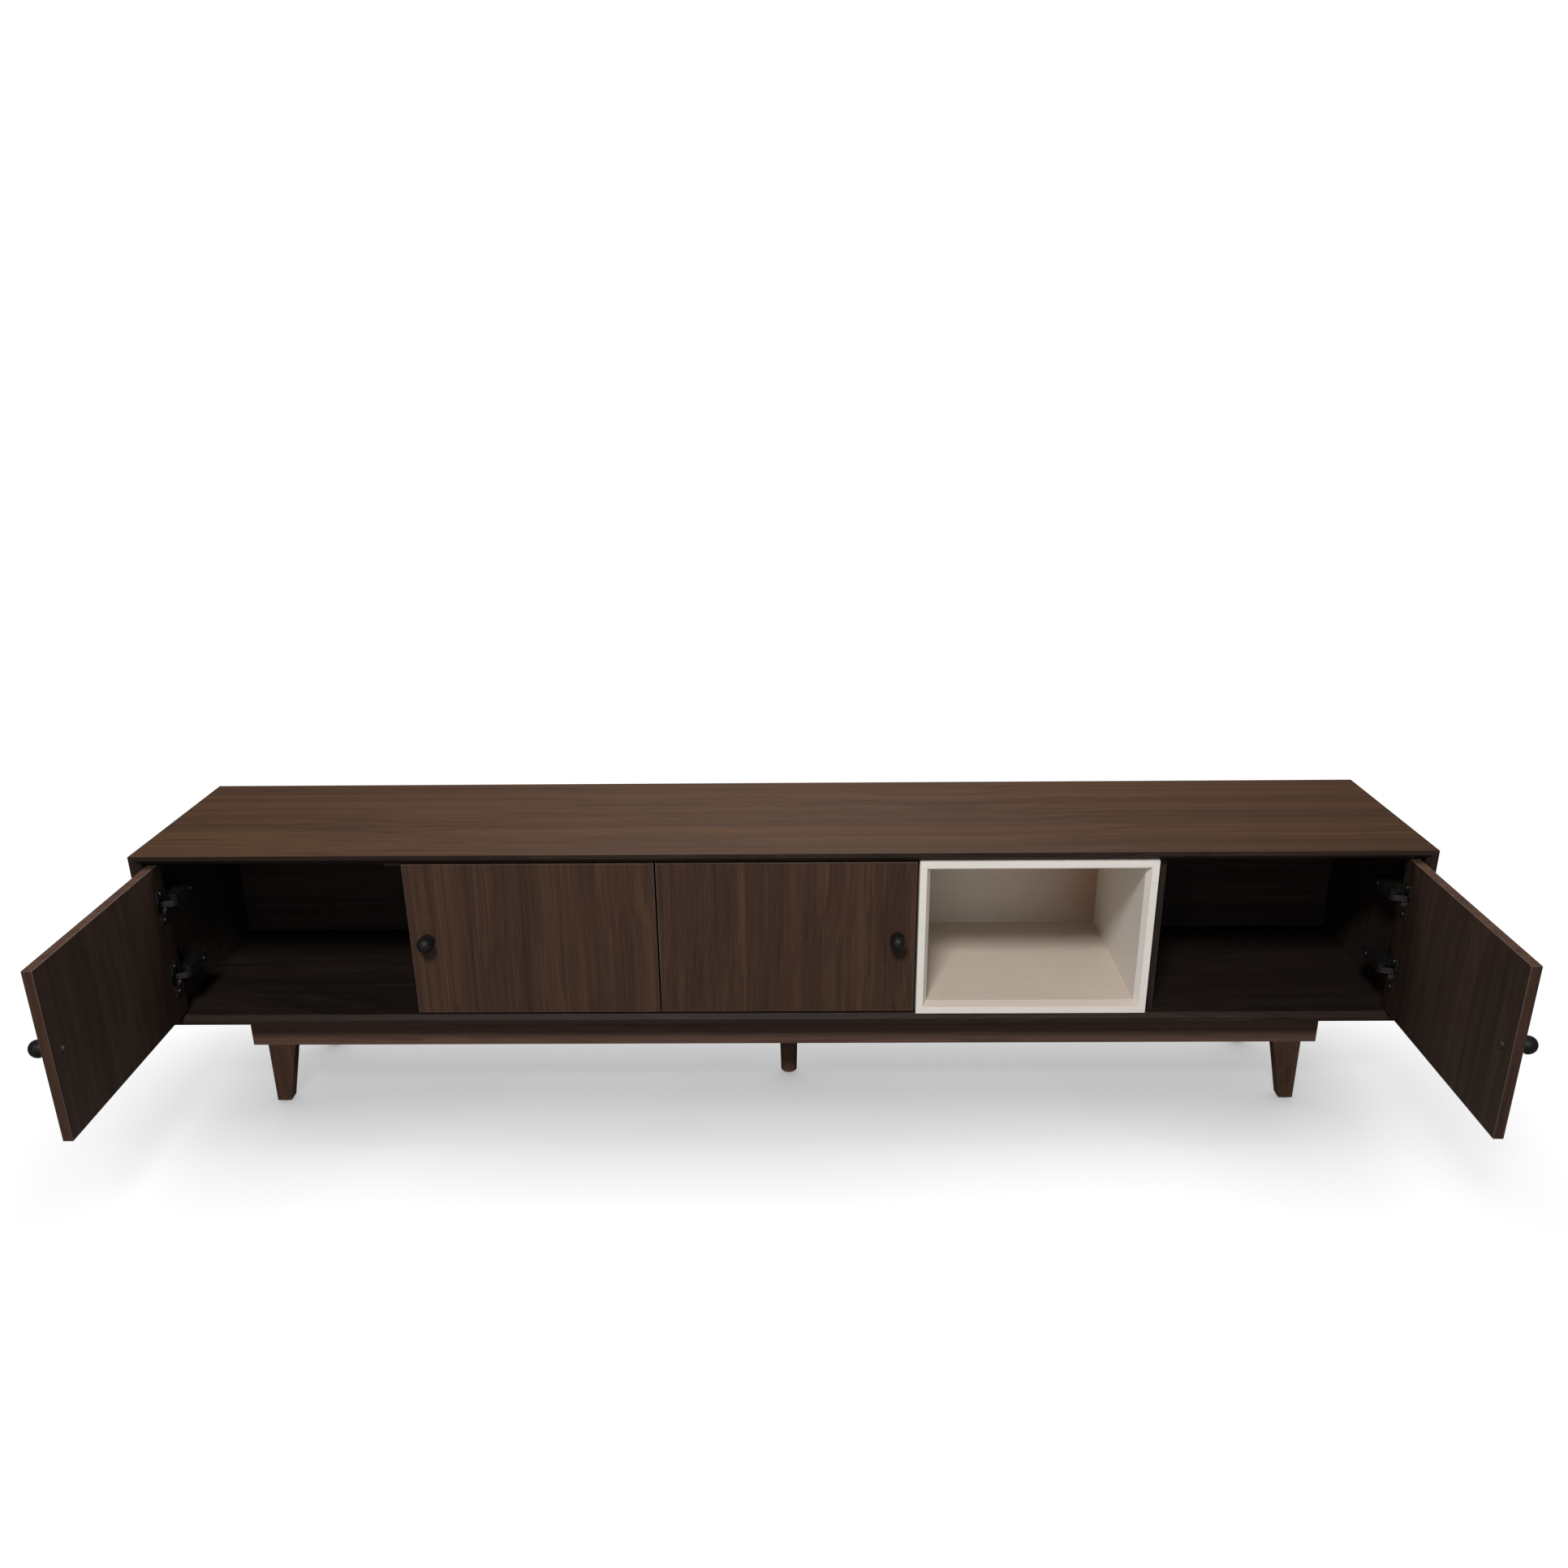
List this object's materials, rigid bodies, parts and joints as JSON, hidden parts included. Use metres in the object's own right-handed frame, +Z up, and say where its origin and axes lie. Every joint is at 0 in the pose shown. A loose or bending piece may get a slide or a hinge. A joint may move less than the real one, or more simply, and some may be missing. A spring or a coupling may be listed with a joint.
{
  "type": "television console cabinet",
  "caption": "Long low console cabinet for a television, with hinged doors, an open white niche, a recessed plinth and tapered legs.",
  "frame": {"origin": "on the floor, at the middle of the box around the case and its open outer doors; this is on the centre line of the case, 7.75 mm in front of the case", "axes": "+X to the right along the case as seen from the front, +Y from the doors towards the back, +Z up"},
  "size_m": [2.2062, 0.8156, 0.5],
  "materials": {
    "walnut_case": "satin walnut veneer with horizontal grain",
    "walnut_door": "satin walnut veneer with upright grain",
    "walnut_inside": "dark walnut foil inside the case",
    "walnut_rail": "satin walnut-stained rail",
    "walnut_leg": "satin walnut-stained solid leg",
    "white_lacquer": "warm white satin lacquer on board",
    "knob_black": "black satin lacquer",
    "hinge_steel": "dark nickel-plated steel",
    "screw_steel": "zinc-plated steel",
    "plate_steel": "black powder coat",
    "glide_plastic": "black nylon",
    "beech_dowel": "raw beech"
  },
  "bodies": {
    "case": {"top_panel": "walnut_case", "bottom_panel": "walnut_case", "left_side": "walnut_case", "right_side": "walnut_case", "divider_1": "walnut_inside", "divider_2": "walnut_inside", "divider_3": "walnut_inside", "divider_4": "walnut_inside", "back_panel_left": "walnut_inside", "back_panel_middle": "walnut_inside", "back_panel_right": "walnut_inside", "niche_top": "white_lacquer", "niche_bottom": "white_lacquer", "niche_left": "white_lacquer", "niche_right": "white_lacquer", "niche_back": "white_lacquer", "stop_block": "walnut_case", "front_rail": "walnut_rail", "rear_rail": "walnut_rail", "end_rail_left": "walnut_rail", "end_rail_right": "walnut_rail", "cross_rail_left": "walnut_rail", "cross_rail_right": "walnut_rail", "front_leg_left": "walnut_leg", "front_leg_right": "walnut_leg", "rear_leg_left": "walnut_leg", "rear_leg_right": "walnut_leg", "centre_leg": "walnut_leg", "leg_plates": "plate_steel", "foot_glides": "glide_plastic", "divider_dowels": "beech_dowel", "leg_dowels": "beech_dowel", "back_screws": "screw_steel", "base_screws": "screw_steel", "hinge_plates": "hinge_steel", "hinge_arms": "hinge_steel", "hinge_pins": "hinge_steel", "hinge_plate_screws": "screw_steel", "leg_plate_screws": "screw_steel"},
    "door_1": {"door_1": "walnut_door", "knob_1": "knob_black", "hinge_cups_1": "hinge_steel", "door_screws_1": "screw_steel"},
    "links_1": {"hinge_links_1": "hinge_steel"},
    "door_2": {"door_2": "walnut_door", "knob_2": "knob_black", "hinge_cups_2": "hinge_steel", "door_screws_2": "screw_steel"},
    "links_2": {"hinge_links_2": "hinge_steel"},
    "door_3": {"door_3": "walnut_door", "knob_3": "knob_black", "hinge_cups_3": "hinge_steel", "door_screws_3": "screw_steel"},
    "links_3": {"hinge_links_3": "hinge_steel"},
    "door_4": {"door_4": "walnut_door", "knob_4": "knob_black", "hinge_cups_4": "hinge_steel", "door_screws_4": "screw_steel"},
    "links_4": {"hinge_links_4": "hinge_steel"}
  },
  "joints": [
    {"name": "door_1_swing", "type": "hinge", "parent": "case", "child": "door_1", "pos_m": [-1.07, 0.02075, 0.341], "axis": [0, 0, -1], "range_deg": [-89, 11]},
    {"name": "links_1_swing", "type": "hinge", "parent": "case", "child": "links_1", "pos_m": [-1.051, 0.04025, 0.341], "axis": [0, 0, -1], "range_deg": [-3, 21]},
    {"name": "door_2_swing", "type": "hinge", "parent": "case", "child": "door_2", "pos_m": [-0.2245, 0.02075, 0.341], "axis": [0, 0, 1], "range_deg": [0, 85]},
    {"name": "links_2_swing", "type": "hinge", "parent": "case", "child": "links_2", "pos_m": [-0.2435, 0.04025, 0.341], "axis": [0, 0, 1], "range_deg": [-20.5, 1]},
    {"name": "door_3_swing", "type": "hinge", "parent": "case", "child": "door_3", "pos_m": [-0.1995, 0.02075, 0.341], "axis": [0, 0, -1], "range_deg": [0, 85]},
    {"name": "links_3_swing", "type": "hinge", "parent": "case", "child": "links_3", "pos_m": [-0.1805, 0.04025, 0.341], "axis": [0, 0, -1], "range_deg": [-20.5, 1]},
    {"name": "door_4_swing", "type": "hinge", "parent": "case", "child": "door_4", "pos_m": [1.07, 0.02075, 0.341], "axis": [0, 0, 1], "range_deg": [-89, 11]},
    {"name": "links_4_swing", "type": "hinge", "parent": "case", "child": "links_4", "pos_m": [1.051, 0.04025, 0.341], "axis": [0, 0, 1], "range_deg": [-3, 21]}
  ],
  "couplings": [
    {"joint": "links_1_swing", "follows": "door_1_swing", "ratio": -0.229},
    {"joint": "links_2_swing", "follows": "door_2_swing", "ratio": -0.229},
    {"joint": "links_3_swing", "follows": "door_3_swing", "ratio": -0.229},
    {"joint": "links_4_swing", "follows": "door_4_swing", "ratio": -0.229}
  ]
}
